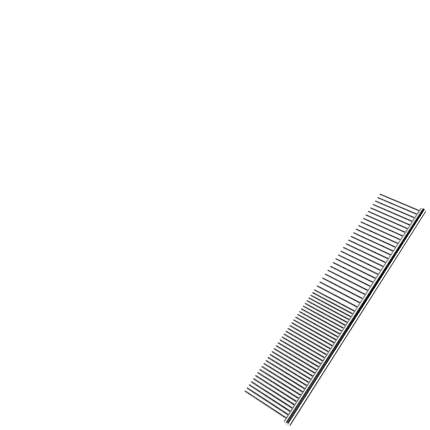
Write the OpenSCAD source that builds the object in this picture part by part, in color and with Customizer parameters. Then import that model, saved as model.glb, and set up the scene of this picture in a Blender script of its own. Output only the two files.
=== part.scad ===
// Pet grooming comb: a round steel bar with two runs of straight steel teeth pressed into it.
// The coarse run opens a mat, and the fine run finishes it. The comb lies on a table, on the
// underside of its bar and on the tips of its teeth.
// Millimetres. +X runs along the bar to its coarse end, +Y from the bar to the tips, +Z up.
// The origin is on the table, under the middle of the comb's outline.

/* [Bar] */
// Diameter of the bar
bar_dia = 5; // [4.5:0.25:8]
// Distance from the coarse end of the bar to the middle of the first coarse tooth
coarse_margin = 1.9; // [1.5:0.1:6]
// Distance from the fine end of the bar to the middle of the first fine tooth
fine_margin = 2.9; // [1.5:0.1:6]
// Chamfer around each end of the bar
end_chamfer = 0.15; // [0.1:0.05:0.6]

/* [Teeth] */
// Diameter of the tooth wire
tooth_dia = 1.1; // [0.8:0.1:1.4]
// Length of a tooth from the bar's surface to its tip
tooth_reach = 32.2; // [20:0.2:45]
// Number of teeth in the coarse run
coarse_count = 27; // [5:1:40]
// Spacing of the coarse teeth, middle to middle
coarse_pitch = 3.75; // [2.5:0.25:5]
// Number of teeth in the fine run, in groups of five
fine_count = 35; // [5:5:70]
// Spacing of the fine teeth, middle to middle
fine_pitch = 2.5; // [1.75:0.25:3.5]

/* [Sockets] */
// Depth of each tooth's socket, below the bar's surface on the side that the teeth leave
socket_depth = 3.5; // [2:0.1:3.5]
// Angle of the drill point at the bottom of a socket
drill_angle = 118; // [100:2:140]
// Chamfer on the buried end of a tooth
shank_chamfer = 0.15; // [0.05:0.05:0.3]

/* [Hidden] */
$fn = 48;
group_size = 5;
group_count = fine_count / group_size;
bar_r = bar_dia / 2;
tooth_r = tooth_dia / 2;
tip_distance = bar_r + tooth_reach;
coarse_span = (coarse_count - 1) * coarse_pitch;
fine_span = fine_count * fine_pitch;
bar_length = coarse_margin + coarse_span + fine_span + fine_margin;
point_height = tooth_r / tan(drill_angle / 2);
// The slope that brings the round tips down to the surface that the bar lies on
rest_tilt = asin((bar_r - tooth_r) / (tip_distance - tooth_r));
tip_y = (tip_distance - tooth_r) * cos(rest_tilt) + tooth_r;
axis_y = (bar_r - tip_y) / 2;
overcut = 0.5;

function two_digits(n) = n < 10 ? str("0", n) : str(n);
function coarse_name(i) = str("coarse_tooth_", two_digits(i));
function group_name(g) =
    str("fine_teeth_", two_digits((g - 1) * group_size + 1), "_to_", two_digits(g * group_size));

// Places along the bar, counted from 1 and from the end of the comb inwards
function coarse_x(i) = bar_length / 2 - coarse_margin - (i - 1) * coarse_pitch;
function fine_x(i) = -bar_length / 2 + fine_margin + (i - 1) * fine_pitch;
function tooth_places() = concat(
    [for (i = [1:coarse_count]) coarse_x(i)],
    [for (i = [1:fine_count]) fine_x(i)]
);

// Puts the comb's own plane, with the bar on X and the teeth along Y, down on the table
module lay_down()
    translate([0, axis_y, bar_r]) rotate([-rest_tilt, 0, 0]) children();

// Turns a shape built upwards from the bar's axis so that it points along a tooth
module along_tooth(x) translate([x, 0, 0]) rotate([-90, 0, 0]) children();

// A blind hole with a drill point, open on the side of the bar that the teeth leave
module socket() {
    floor_z = bar_r - socket_depth;
    translate([0, 0, floor_z]) cylinder(h = socket_depth + overcut, r = tooth_r);
    translate([0, 0, floor_z - point_height]) cylinder(h = point_height, r1 = 0, r2 = tooth_r);
}

// One length of round wire: a chamfered shank, then a straight shaft up to a domed tip
module tooth() {
    shank_z = bar_r - socket_depth;
    shaft_z = shank_z + shank_chamfer;
    dome_z = tip_distance - tooth_r;
    translate([0, 0, shank_z])
        cylinder(h = shank_chamfer, r1 = tooth_r - shank_chamfer, r2 = tooth_r);
    translate([0, 0, shaft_z]) cylinder(h = dome_z - shaft_z, r = tooth_r);
    translate([0, 0, dome_z]) sphere(r = tooth_r);
}

// Round bar, chamfered at both ends, with one socket for each tooth
module bar() {
    straight = bar_length - 2 * end_chamfer;
    color("silver") lay_down() difference() {
        rotate([0, 90, 0]) union() {
            cylinder(h = straight, r = bar_r, center = true);
            for (side = [0, 1]) mirror([0, 0, side]) translate([0, 0, straight / 2])
                cylinder(h = end_chamfer, r1 = bar_r, r2 = bar_r - end_chamfer);
        }
        for (x = tooth_places()) along_tooth(x) socket();
    }
}

// One tooth of the coarse run
module coarse_tooth(i)
    color("lightslategray") lay_down() along_tooth(coarse_x(i)) tooth();

// Five neighbouring teeth of the fine run, each one a separate pin
module fine_teeth(g)
    color("slategray") lay_down()
        for (i = [(g - 1) * group_size + 1 : g * group_size]) along_tooth(fine_x(i)) tooth();

bar();
for (i = [1:coarse_count])
    coarse_tooth(i);
for (g = [1:group_count])
    fine_teeth(g);
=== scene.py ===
"""The looks of a two-pitch steel grooming comb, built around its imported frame.

A polished round bar holds 27 coarse and 35 fine wire teeth. Each tooth is a piece of its own, pressed
into a drilled and countersunk socket. Lengths are in metres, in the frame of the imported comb: +X runs
along the bar to its coarse end, +Y from the bar to the tips of the teeth, and +Z up from the table.
"""
import math

import bmesh
import bpy
from bpy.props import FloatProperty, FloatVectorProperty, IntProperty, PointerProperty, StringProperty
from mathutils import Matrix, Quaternion, Vector


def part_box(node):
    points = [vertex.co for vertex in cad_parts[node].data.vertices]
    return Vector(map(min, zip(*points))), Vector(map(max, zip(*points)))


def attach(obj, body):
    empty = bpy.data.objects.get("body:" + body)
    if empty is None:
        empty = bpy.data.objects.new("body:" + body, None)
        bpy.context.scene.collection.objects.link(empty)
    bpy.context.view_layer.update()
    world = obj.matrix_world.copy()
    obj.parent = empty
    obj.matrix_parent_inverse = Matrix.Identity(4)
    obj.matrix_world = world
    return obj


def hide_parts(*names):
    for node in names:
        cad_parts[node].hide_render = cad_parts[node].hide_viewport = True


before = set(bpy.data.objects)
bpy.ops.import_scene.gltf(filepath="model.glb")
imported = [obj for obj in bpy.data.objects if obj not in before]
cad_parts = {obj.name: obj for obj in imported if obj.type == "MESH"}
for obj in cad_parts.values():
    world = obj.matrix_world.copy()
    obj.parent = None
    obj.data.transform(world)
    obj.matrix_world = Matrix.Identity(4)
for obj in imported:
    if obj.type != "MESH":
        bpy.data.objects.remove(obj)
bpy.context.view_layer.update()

bl_info = {
    "name": "Two-Pitch Grooming Comb",
    "version": (1, 0, 0),
    "blender": (4, 5, 0),
    "location": "3D View > Sidebar > Comb",
    "description": "Builds a steel grooming comb with a coarse and a fine run of wire teeth",
    "category": "Object",
}

MM = 0.001
# Fine teeth in one CAD node
GROUP_SIZE = 5

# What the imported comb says: the bar, the wire, and where a tooth's domed tip is centred
bar_low, bar_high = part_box("bar")
tooth_low, tooth_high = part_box("coarse_tooth_01")
bar_middle = (bar_low + bar_high) / 2
bar_radius = (bar_high.z - bar_low.z) / 2
bar_length = bar_high.x - bar_low.x
wire_radius = (tooth_high.x - tooth_low.x) / 2
tip_centre = Vector((0, tooth_high.y - wire_radius, tooth_low.z + wire_radius))
tip_offset = tip_centre - Vector((0, bar_middle.y, bar_middle.z))
tip_distance = tip_offset.length + wire_radius
tooth_slope = math.atan2(-tip_offset.z, tip_offset.y)

# Stands a tooth that was made upwards from the origin along its slope, on the bar's axis
ALONG_TOOTH = (
    Matrix.Translation((0, bar_middle.y, bar_middle.z))
    @ Matrix.Rotation(-tooth_slope, 4, "X")
    @ Matrix.Rotation(-math.pi / 2, 4, "X")
)


def nodes_named(prefix):
    return sorted(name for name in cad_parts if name.startswith(prefix))


def coarse_places():
    """(CAD node, place along the bar) of each coarse tooth, from the coarse end inwards."""
    return [(node, sum(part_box(node), Vector()).x / 2) for node in nodes_named("coarse_tooth")]


def fine_places():
    """(CAD node, place along the bar) of each fine tooth, from the fine end inwards."""
    places = []
    for node in nodes_named("fine_teeth"):
        low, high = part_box(node)
        first = low.x + wire_radius
        pitch = (high.x - low.x - 2 * wire_radius) / (GROUP_SIZE - 1)
        places += [(node, first + pitch * i) for i in range(GROUP_SIZE)]
    return places


# The drill's point, and how fast a countersink widens as it rises
DRILL_ANGLE = math.radians(118)
COUNTERSINK_SLOPE = 0.75
# Widths of the two rings of faces in each end face, as shares of the bar's radius
END_RINGS = (0.3, 0.25)
# How much of the wire's radius a tooth's dome takes up, before its top is drawn to a point
DOME_SHARE = 0.97
# Edges that turn by more than this stay sharp
SHARP_EDGE = math.radians(30)
# Two places closer than this count as one, and so do two directions with a cosine above this
SAME_PLACE = 0.001 * MM
SAME_WAY = 0.999

# The stage. The flag has a height, corners in plan, and a stretch of X along which its painted glow
# fades.
TABLE_WIDTH = 6.0
FLAG_HEIGHT = 0.6
FLAG_CORNERS = ((-0.7, -0.9), (1.25, -0.9), (1.25, 0.09), (0.38, 0.395), (-0.7, 1.12))
FLAG_FADE = (0.05, 0.3)
# How far under the table's top the board and the slip lie, and the slip's length and its overhang
BOARD_DEPTH = 1 * MM
SLIP_DEPTH = 0.5 * MM
SLIP_LENGTH = 78 * MM
SLIP_OVERHANG = 4 * MM
# How each card is turned
LEVEL = (0, 0, 0)
FACING_X = (math.pi / 2, 0, math.pi / 2)
FACING_Y = (math.pi / 2, 0, 0)
# The upright cards: name, middle, width and height, turn, and glow
CARDS = (
    # The bright line between the dark stripe and the bar's outer edge
    ("white_card", (0.6, -1.7, 0.25), (4.0, 0.5), FACING_Y, 1.27),
    # To either side, past the tips of the teeth, so that the teeth stay dark
    ("left_black_card", (-1.4, 0.45, 0.75), (0.9, 1.5), FACING_X, 0.01),
    ("right_black_card", (1.4, 0.45, 0.75), (0.8, 1.5), FACING_X, 0.01),
    # The dark line along the bar, just above the teeth
    ("low_black_card", (0.45, 0.5, 0.035), (1.9, 0.07), FACING_Y, 0.01),
)
# The soft lights: name, place, width and height, and power in watts
SOFTBOXES = (
    ("front_softbox", (0.25, -1.3, 0.55), (1.6, 0.7), 3.5),
    ("back_softbox", (0.1, 1.2, 0.75), (1.6, 0.8), 1.5),
)


# ---------------------------------------------------------------- settings


class CombBarSettings(bpy.types.PropertyGroup):
    sides: IntProperty(
        name="Sides", description="Faces around the bar", default=128, min=32, max=256)
    end_chamfer: FloatProperty(
        name="End Chamfer", description="Chamfer turned on each end", default=0.15 * MM, unit="LENGTH")
    edge_softness: FloatProperty(
        name="Edge Softness", description="Width that polishing rounds off each edge",
        default=0.05 * MM, unit="LENGTH")
    socket_depth: FloatProperty(
        name="Socket Depth", description="Depth of a tooth's socket below the bar's surface",
        default=3.5 * MM, unit="LENGTH")
    countersink: FloatProperty(
        name="Countersink", description="Depth of the deburred mouth of a socket",
        default=0.18 * MM, unit="LENGTH")
    steel: StringProperty(
        name="Steel", description="Colour of the bright plate, as an sRGB hex value", default="#DBDBDB")
    end_steel: StringProperty(
        name="End Steel", description="Colour of the faced ends, as an sRGB hex value", default="#E4E4E4")


class CombToothSettings(bpy.types.PropertyGroup):
    sides: IntProperty(
        name="Sides", description="Faces around a tooth", default=24, min=12, max=48)
    dome_rings: IntProperty(
        name="Dome Rings", description="Rings of faces in the domed tip", default=6, min=3, max=12)
    shank_chamfer: FloatProperty(
        name="Shank Chamfer", description="Chamfer on the buried end", default=0.15 * MM, unit="LENGTH")
    wire: StringProperty(
        name="Wire", description="Colour of the drawn wire, as an sRGB hex value", default="#CCCCCC")
    dull_wire: StringProperty(
        name="Dull Wire", description="Colour of its duller patches, as an sRGB hex value",
        default="#B5B5B5")


class CombStageSettings(bpy.types.PropertyGroup):
    aim: FloatVectorProperty(
        name="Aim", description="Point on the table that the camera faces", size=3,
        default=(10.25 * MM, 117.65 * MM, 0), subtype="TRANSLATION", unit="LENGTH")
    azimuth: FloatProperty(
        name="Azimuth", description="Turn of the camera around the comb",
        default=math.radians(-43.02), subtype="ANGLE")
    elevation: FloatProperty(
        name="Elevation", description="Height of the camera above the table, as an angle",
        default=math.radians(55.72), subtype="ANGLE")
    roll: FloatProperty(
        name="Roll", description="Lean of the camera to its right",
        default=math.radians(13.04), subtype="ANGLE")
    distance: FloatProperty(
        name="Distance", description="From the camera to the point that it faces",
        default=480.3 * MM, unit="LENGTH")
    lens: FloatProperty(
        name="Lens", description="Focal length on a 36 mm wide sensor", default=50.8, unit="CAMERA")
    table: StringProperty(
        name="Table", description="Colour of the table, as an sRGB hex value", default="#6E6E6E")
    table_glow: FloatProperty(
        name="Table Glow", description="Light that the table gives off from beneath", default=0.87,
        min=0, max=2)


# ---------------------------------------------------------------- materials


# A Mix node's colour sockets, by number, because its sockets for numbers have the same names
MIX_A, MIX_B, MIX_RESULT = 6, 7, 2


def linear(hex_colour):
    """An sRGB hex value as linear red, green, blue and alpha."""
    parts = [int(hex_colour[i:i + 2], 16) / 255 for i in (1, 3, 5)]
    return (*(c / 12.92 if c <= 0.04045 else ((c + 0.055) / 1.055) ** 2.4 for c in parts), 1)


def add(tree, kind, inputs=None, **settings):
    """Adds a node. Settings are its own properties, and inputs are values or sockets to link."""
    node = tree.nodes.new("ShaderNode" + kind)
    for name, value in settings.items():
        setattr(node, name, value)
    for name, value in (inputs or {}).items():
        if isinstance(value, bpy.types.NodeSocket):
            tree.links.new(value, node.inputs[name])
        else:
            node.inputs[name].default_value = value
    return node


def blank_material(name):
    """A new material with an empty node tree."""
    material = bpy.data.materials.new(name)
    material.use_nodes = True
    material.node_tree.nodes.clear()
    return material, material.node_tree


def cells(tree, size, turn=0.0):
    """Coordinates that count cells of this size, in metres, along axes turned about the bar."""
    place = add(tree, "TexCoord").outputs["Object"]
    return add(tree, "Mapping", {
        "Vector": place, "Location": (0, bar_middle.y, bar_middle.z), "Rotation": (turn, 0, 0),
        "Scale": size}, vector_type="TEXTURE").outputs["Vector"]


def grain(tree, size, low, high, turn=0.0):
    """A random pattern with cells of this size, in metres, that runs between low and high."""
    pattern = add(tree, "TexNoise", {"Vector": cells(tree, size, turn), "Scale": 1.0, "Detail": 2.0})
    return add(tree, "MapRange", {
        "Value": pattern.outputs["Fac"], "From Min": 0.3, "From Max": 0.7,
        "To Min": low, "To Max": high}).outputs["Result"]


def bright_plated_steel(colour):
    """Steel bar, ground and buffed along its length and bright plated: a mirror that keeps faint
    lengthwise lines, so that reflections have crisp long edges and a slight grain across them."""
    material, tree = blank_material("bright_plated_steel")
    # Buffing lines are about 0.02 mm wide, drawn 0.25 mm wide and 40 mm long so that they show
    lines = grain(tree, (40 * MM, 0.25 * MM, 0.25 * MM), 0, 1)
    # Faint haze from handling, in patches of about 9 mm
    haze = grain(tree, (14 * MM, 9 * MM, 9 * MM), 0.015, 0.03)
    roughness = add(tree, "Math", {0: lines, 1: 0.02, 2: haze}, operation="MULTIPLY_ADD")
    bump = add(tree, "Bump", {"Height": lines, "Strength": 1.0, "Distance": 0.0004 * MM})
    shader = add(tree, "BsdfPrincipled", {
        "Base Color": linear(colour), "Metallic": 1.0,
        "Roughness": roughness.outputs["Value"], "Normal": bump.outputs["Normal"]})
    add(tree, "OutputMaterial", {"Surface": shader.outputs["BSDF"]})
    return material


def faced_steel(colour):
    """The bar's end faces, cut off and faced in a lathe: satin, with fine rings around the middle."""
    material, tree = blank_material("faced_steel")
    # The tool's feed leaves rings about 0.05 mm apart, drawn 0.15 mm apart so that they show.
    # A wave at this scale has one crest in each cell.
    rings = add(tree, "TexWave", {"Vector": cells(tree, 3 * (0.15 * MM,)), "Scale": math.pi / 10},
                wave_type="RINGS", rings_direction="X")
    bump = add(tree, "Bump", {"Height": rings.outputs["Fac"], "Strength": 1.0, "Distance": 0.002 * MM})
    shader = add(tree, "BsdfPrincipled", {
        "Base Color": linear(colour), "Metallic": 1.0, "Roughness": 0.3,
        "Normal": bump.outputs["Normal"]})
    add(tree, "OutputMaterial", {"Surface": shader.outputs["BSDF"]})
    return material


def drawn_wire(colour, dull_colour):
    """Hard-drawn steel wire, tumbled after it is pointed: greyer and softer than the bar, with die
    lines along it and a slight mottle where the tumbling was uneven."""
    material, tree = blank_material("drawn_wire")
    # Die lines are a few micrometres wide, drawn 0.12 mm wide so that they show
    lines = grain(tree, (0.12 * MM, 22 * MM, 0.12 * MM), 0, 1, turn=-tooth_slope)
    mottle = grain(tree, (3.1 * MM, 3.6 * MM, 3.1 * MM), 0, 1, turn=-tooth_slope)
    shade = add(tree, "Mix", {"Factor": mottle, MIX_A: linear(dull_colour), MIX_B: linear(colour)},
                data_type="RGBA")
    roughness = add(tree, "Math", {0: lines, 1: 0.1, 2: 0.15}, operation="MULTIPLY_ADD")
    bump = add(tree, "Bump", {"Height": lines, "Strength": 1.0, "Distance": 0.0015 * MM})
    shader = add(tree, "BsdfPrincipled", {
        "Base Color": shade.outputs[MIX_RESULT], "Metallic": 1.0,
        "Roughness": roughness.outputs["Value"], "Normal": bump.outputs["Normal"]})
    add(tree, "OutputMaterial", {"Surface": shader.outputs["BSDF"]})
    return material


def opal_acrylic(colour, glow):
    """The table: opal acrylic lit from beneath, matte and pale, on which shadows stay faint."""
    material, tree = blank_material("opal_acrylic")
    cloud = grain(tree, (60 * MM, 60 * MM, 60 * MM), 0.88, 0.92)
    shader = add(tree, "BsdfPrincipled", {
        "Base Color": linear(colour), "Roughness": cloud, "Specular IOR Level": 0.1,
        "Emission Color": (1, 1, 1, 1), "Emission Strength": glow})
    add(tree, "OutputMaterial", {"Surface": shader.outputs["BSDF"]})
    return material


def even_glow(name, glow):
    """A card that gives off an even white light, or hardly any when it is black."""
    material, tree = blank_material(name)
    emission = add(tree, "Emission", {"Color": (1, 1, 1, 1), "Strength": glow})
    add(tree, "OutputMaterial", {"Surface": emission.outputs["Emission"]})
    return material


def black_cloth(left_glow, right_glow):
    """The flag's cloth, with painted light: its glow is painted brighter on the left, where the cloth
    would catch more light, and fades to blackest on the right.
    """
    material, tree = blank_material("black_cloth")
    place = add(tree, "SeparateXYZ", {"Vector": add(tree, "TexCoord").outputs["Object"]})
    # Painted light: the glow's strength runs along X from the left value to the right one
    strength = add(tree, "MapRange", {
        "Value": place.outputs["X"], "From Min": FLAG_FADE[0], "From Max": FLAG_FADE[1],
        "To Min": left_glow, "To Max": right_glow}, interpolation_type="SMOOTHSTEP")
    emission = add(tree, "Emission", {"Color": (1, 1, 1, 1), "Strength": strength.outputs["Result"]})
    add(tree, "OutputMaterial", {"Surface": emission.outputs["Emission"]})
    return material


# ---------------------------------------------------------------- mesh work


def start(primitive, name, **size):
    """Adds a primitive with nothing else selected, and names it."""
    if bpy.context.object and bpy.context.object.mode != "OBJECT":
        bpy.ops.object.mode_set(mode="OBJECT")
    bpy.ops.object.select_all(action="DESELECT")
    primitive(**size)
    piece = bpy.context.object
    piece.name = piece.data.name = name
    return piece


def choose(piece, mode, wanted):
    """In edit mode, selects only the vertices, edges or faces for which wanted() is true."""
    bpy.ops.object.mode_set(mode="EDIT")
    bpy.ops.mesh.select_mode(type=mode)
    bpy.ops.mesh.select_all(action="DESELECT")
    mesh = bmesh.from_edit_mesh(piece.data)
    for item in {"VERT": mesh.verts, "EDGE": mesh.edges, "FACE": mesh.faces}[mode]:
        item.select = wanted(item)
    mesh.select_flush_mode()
    bmesh.update_edit_mesh(piece.data)


def done(piece):
    """Leaves edit mode and puts the piece's place, turn and size into its mesh."""
    bpy.ops.object.mode_set(mode="OBJECT")
    bpy.ops.object.transform_apply(location=True, rotation=True, scale=True)
    return piece


def settle(piece, node, slot, *finishes):
    """Gives a finished piece its finishes, and puts it on the comb in place of its CAD node."""
    piece.data.materials.clear()
    for finish in finishes:
        piece.data.materials.append(finish)
    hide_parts(node)
    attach(piece, "root")


def ring_at(height):
    """True for an edge that lies all the way round at this height."""
    return lambda edge: all(abs(v.co.z - height) < SAME_PLACE for v in edge.verts)


def make_cutter(name, places):
    """One solid for each socket, with a drill point and a countersunk mouth, in one mesh."""
    settings = bpy.context.scene.comb_bar
    teeth = bpy.context.scene.comb_tooth
    bottom = bar_radius - settings.socket_depth
    mouth = bar_radius - settings.countersink
    cutter = start(bpy.ops.mesh.primitive_cylinder_add, name, vertices=teeth.sides,
                   radius=wire_radius, depth=mouth - bottom, location=(0, 0, (mouth + bottom) / 2))
    done(cutter)
    # The drill's point
    choose(cutter, "FACE", lambda face: face.normal.z < -SAME_WAY)
    bpy.ops.mesh.extrude_region_move(
        TRANSFORM_OT_translate={"value": (0, 0, -wire_radius / math.tan(DRILL_ANGLE / 2))})
    bpy.ops.mesh.merge(type="CENTER")
    # The countersink, carried on well past the bar's surface
    choose(cutter, "FACE", lambda face: face.normal.z > SAME_WAY)
    rise = 2.5 * settings.countersink
    wide = 1 + rise * COUNTERSINK_SLOPE / wire_radius
    bpy.ops.mesh.extrude_region_move(TRANSFORM_OT_translate={"value": (0, 0, rise)})
    bpy.ops.transform.resize(value=(wide, wide, 1))
    bpy.ops.object.mode_set(mode="OBJECT")
    drills = bmesh.new()
    for x in places:
        drill = cutter.data.copy()
        drill.transform(Matrix.Translation((x, 0, 0)) @ ALONG_TOOTH)
        drills.from_mesh(drill)
        bpy.data.meshes.remove(drill)
    drills.to_mesh(cutter.data)
    drills.free()
    return cutter


def round_normals(piece):
    """Gives the bar's round skin the normals of a true cylinder, so that the sockets cut in it
    don't ripple its reflections."""
    mesh = piece.data
    axis = Vector((0, bar_middle.y, bar_middle.z))
    normals = [Vector(corner.vector) for corner in mesh.corner_normals]
    for face in mesh.polygons:
        outward = (face.center - axis) * Vector((0, 1, 1))
        if outward.length > SAME_WAY * bar_radius and outward.normalized().dot(face.normal) > SAME_WAY:
            for corner in face.loop_indices:
                spot = (mesh.vertices[mesh.loops[corner].vertex_index].co - axis) * Vector((0, 1, 1))
                normals[corner] = spot.normalized()
    mesh.normals_split_custom_set(normals)


# ---------------------------------------------------------------- operators


class COMB_OT_bar(bpy.types.Operator):
    """Makes the round bar: chamfered ends, softened edges and a countersunk socket for each tooth"""
    bl_idname = "comb.bar"
    bl_label = "Bar"
    bl_options = {"REGISTER", "UNDO"}

    def execute(self, context):
        settings = context.scene.comb_bar
        bar = start(bpy.ops.mesh.primitive_cylinder_add, "ground_bar", vertices=settings.sides,
                    radius=bar_radius, depth=bar_length, location=bar_middle,
                    rotation=(0, math.pi / 2, 0))
        done(bar)

        # Each end's rim, and not the long edges between the ends
        choose(bar, "EDGE", lambda edge: abs(sum(v.co.x for v in edge.verts)) > 0.99 * bar_length)
        bpy.ops.mesh.bevel(offset=settings.end_chamfer, offset_type="OFFSET", segments=1, affect="EDGES")
        # Softens both edges of each chamfer, then rings and closes the end faces
        choose(bar, "EDGE", lambda edge: edge.calc_face_angle(0) > SHARP_EDGE)
        bpy.ops.mesh.bevel(offset=settings.edge_softness, segments=3, profile=0.5, affect="EDGES")
        choose(bar, "FACE", lambda face: abs(face.normal.x) > SAME_WAY)
        for share in END_RINGS:
            bpy.ops.mesh.inset(thickness=bar_radius * share)
        bpy.ops.mesh.poke()
        done(bar)

        places = [x for _, x in coarse_places() + fine_places()]
        cutter = make_cutter("socket_drills", places)
        bpy.ops.object.select_all(action="DESELECT")
        bar.select_set(True)
        context.view_layer.objects.active = bar
        bpy.ops.object.modifier_add(type="BOOLEAN")
        bar.modifiers[-1].object = cutter
        bar.modifiers[-1].solver = "EXACT"
        bpy.ops.object.modifier_apply(modifier=bar.modifiers[-1].name)
        bpy.data.objects.remove(cutter)
        bpy.ops.object.shade_smooth_by_angle(angle=SHARP_EDGE)
        round_normals(bar)
        settle(bar, "bar", "bar_steel",
               bright_plated_steel(settings.steel), faced_steel(settings.end_steel))
        for face in bar.data.polygons:
            face.material_index = int(abs(face.normal.x) > SAME_WAY)
        return {"FINISHED"}


def make_tooth(name):
    """One tooth, made upwards: a chamfered shank, a straight shaft and a domed tip."""
    settings = bpy.context.scene.comb_tooth
    bottom = bar_radius - bpy.context.scene.comb_bar.socket_depth
    tooth = start(bpy.ops.mesh.primitive_cylinder_add, name, vertices=settings.sides,
                  radius=wire_radius, depth=tip_distance - bottom,
                  location=(0, 0, (tip_distance + bottom) / 2))
    done(tooth)
    choose(tooth, "EDGE", ring_at(tip_distance))
    bpy.ops.mesh.bevel(offset=DOME_SHARE * wire_radius, offset_type="OFFSET",
                       segments=settings.dome_rings, profile=0.5, affect="EDGES")
    choose(tooth, "VERT", lambda vert: vert.co.z > tip_distance - SAME_PLACE)
    bpy.ops.mesh.merge(type="CENTER")
    choose(tooth, "EDGE", ring_at(bottom))
    bpy.ops.mesh.bevel(offset=settings.shank_chamfer, offset_type="OFFSET", segments=1, affect="EDGES")
    choose(tooth, "FACE", lambda face: face.normal.z < -SAME_WAY)
    bpy.ops.mesh.poke()
    done(tooth)
    bpy.ops.object.shade_smooth_by_angle(angle=SHARP_EDGE)
    tooth.data.transform(ALONG_TOOTH)
    return tooth


def plant_teeth(name, places, material):
    """Copies one tooth to each place. Each copy has its own mesh and stands for its CAD node."""
    pattern = make_tooth(name + "_pattern")
    for count, (node, x) in enumerate(places, start=1):
        tooth = bpy.data.objects.new(f"{name}_{count:02d}", pattern.data.copy())
        bpy.context.collection.objects.link(tooth)
        tooth.data.name = tooth.name
        tooth.data.transform(Matrix.Translation((x, 0, 0)))
        settle(tooth, node, "tooth_wire", material)
    bpy.data.objects.remove(pattern)


class COMB_OT_coarse_teeth(bpy.types.Operator):
    """Presses the coarse teeth into the bar, one piece each"""
    bl_idname = "comb.coarse_teeth"
    bl_label = "Coarse Teeth"
    bl_options = {"REGISTER", "UNDO"}

    def execute(self, context):
        settings = context.scene.comb_tooth
        plant_teeth("coarse_pin", coarse_places(), drawn_wire(settings.wire, settings.dull_wire))
        return {"FINISHED"}


class COMB_OT_fine_teeth(bpy.types.Operator):
    """Presses the fine teeth into the bar, one piece each"""
    bl_idname = "comb.fine_teeth"
    bl_label = "Fine Teeth"
    bl_options = {"REGISTER", "UNDO"}

    def execute(self, context):
        settings = context.scene.comb_tooth
        plant_teeth("fine_pin", fine_places(), drawn_wire(settings.wire, settings.dull_wire))
        return {"FINISHED"}


def only_in_reflections(card):
    card.visible_camera = False
    card.visible_diffuse = False
    card.visible_shadow = False
    card.visible_transmission = False


def make_card(name, middle, size, turn, glow):
    """A card that gives off an even light, seen only in reflections."""
    card = start(bpy.ops.mesh.primitive_plane_add, name, size=1, location=middle, rotation=turn)
    card.scale = (*size, 1)
    done(card)
    card.data.materials.append(even_glow(name, glow))
    only_in_reflections(card)


def make_table(settings):
    """A wide lit table for the comb to lie on, and what its steel reflects instead of the table: a
    grey board, which stops short of the fine end face, and a white slip before the coarse one."""
    table = start(bpy.ops.mesh.primitive_plane_add, "table", size=TABLE_WIDTH, location=(0, 0, 0))
    done(table)
    table.data.materials.append(opal_acrylic(settings.table, settings.table_glow))
    table.visible_glossy = False
    board_start, board_end = bar_low.x - 0.25 * MM, TABLE_WIDTH / 2
    make_card("grey_board", ((board_start + board_end) / 2, 0, -BOARD_DEPTH),
              (board_end - board_start, TABLE_WIDTH), LEVEL, 0.05)
    make_card("white_slip", (bar_high.x + 2 * MM + SLIP_LENGTH / 2, bar_middle.y, -SLIP_DEPTH),
              (SLIP_LENGTH, 2 * (bar_radius + SLIP_OVERHANG)), LEVEL, 1.0)


def make_flag():
    """A black flag over the comb, seen only in its reflections: the dark stripe down the bar."""
    flag = start(bpy.ops.mesh.primitive_circle_add, "flag", vertices=len(FLAG_CORNERS),
                 fill_type="NGON", location=(0, 0, FLAG_HEIGHT))
    done(flag)
    for vert, corner in zip(flag.data.vertices, FLAG_CORNERS):
        vert.co.xy = corner
    # Painted light on the flag: a faint glow on its left that fades to almost none on its right
    flag.data.materials.append(black_cloth(left_glow=0.055, right_glow=0.004))
    only_in_reflections(flag)


def make_softbox(name, place, size, power):
    """A soft rectangular light that faces the comb."""
    bpy.ops.object.select_all(action="DESELECT")
    bpy.ops.object.light_add(type="AREA", location=place)
    light = bpy.context.object
    light.name = light.data.name = name
    light.data.shape = "RECTANGLE"
    light.data.size, light.data.size_y = size
    light.data.energy = power
    light.rotation_euler = Vector(place).to_track_quat("Z", "Y").to_euler()
    light.visible_camera = False


def make_camera(settings):
    """Places the camera by its aim, azimuth, elevation, distance and roll."""
    flat = math.cos(settings.elevation)
    back = Vector((math.sin(settings.azimuth) * flat, -math.cos(settings.azimuth) * flat,
                   math.sin(settings.elevation)))
    bpy.ops.object.camera_add(location=Vector(settings.aim) + back * settings.distance)
    camera = bpy.context.object
    camera.name = camera.data.name = "camera"
    turn = back.to_track_quat("Z", "Y") @ Quaternion((0, 0, 1), -settings.roll)
    camera.rotation_euler = turn.to_euler()
    camera.data.sensor_width = 36
    camera.data.lens = settings.lens
    camera.data.clip_start = 0.01
    bpy.context.scene.camera = camera


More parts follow.
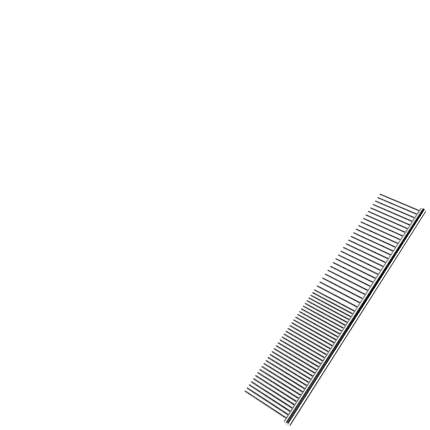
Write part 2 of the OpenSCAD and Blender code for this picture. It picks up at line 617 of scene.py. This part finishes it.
class COMB_OT_stage(bpy.types.Operator):
    """Sets up the table, the soft studio light and the camera"""
    bl_idname = "comb.stage"
    bl_label = "Stage"
    bl_options = {"REGISTER", "UNDO"}

    def execute(self, context):
        settings = context.scene.comb_stage
        make_table(settings)
        make_flag()
        for card in CARDS:
            make_card(*card)
        for softbox in SOFTBOXES:
            make_softbox(*softbox)
        world = bpy.data.worlds.new("studio_walls")
        world.use_nodes = True
        world.node_tree.nodes["Background"].inputs["Color"].default_value = (1, 1, 1, 1)
        world.node_tree.nodes["Background"].inputs["Strength"].default_value = 1.0
        context.scene.world = world
        make_camera(settings)
        context.scene.view_settings.view_transform = "Standard"
        # Keeps the thin teeth crisp
        context.scene.cycles.filter_width = 1.2
        return {"FINISHED"}


class COMB_PT_panel(bpy.types.Panel):
    """Lists the comb's settings and the steps that build it"""
    bl_idname = "COMB_PT_panel"
    bl_label = "Grooming Comb"
    bl_space_type = "VIEW_3D"
    bl_region_type = "UI"
    bl_category = "Comb"

    def draw(self, context):
        layout = self.layout
        layout.use_property_split = True
        for settings in SETTINGS:
            group = getattr(context.scene, settings)
            for name in group.__annotations__:
                layout.prop(group, name)
        for step in STEPS:
            layout.operator(step.bl_idname)


SETTINGS = {"comb_bar": CombBarSettings, "comb_tooth": CombToothSettings, "comb_stage": CombStageSettings}
STEPS = (COMB_OT_bar, COMB_OT_coarse_teeth, COMB_OT_fine_teeth, COMB_OT_stage)


def register():
    for item in (*SETTINGS.values(), *STEPS, COMB_PT_panel):
        bpy.utils.register_class(item)
    for name, group in SETTINGS.items():
        setattr(bpy.types.Scene, name, PointerProperty(type=group))


def unregister():
    for name in SETTINGS:
        delattr(bpy.types.Scene, name)
    for item in reversed((*SETTINGS.values(), *STEPS, COMB_PT_panel)):
        bpy.utils.unregister_class(item)


def main():
    register()
    bpy.ops.comb.stage()
    bpy.ops.comb.bar()
    bpy.ops.comb.coarse_teeth()
    bpy.ops.comb.fine_teeth()


if __name__ == "__main__":
    main()
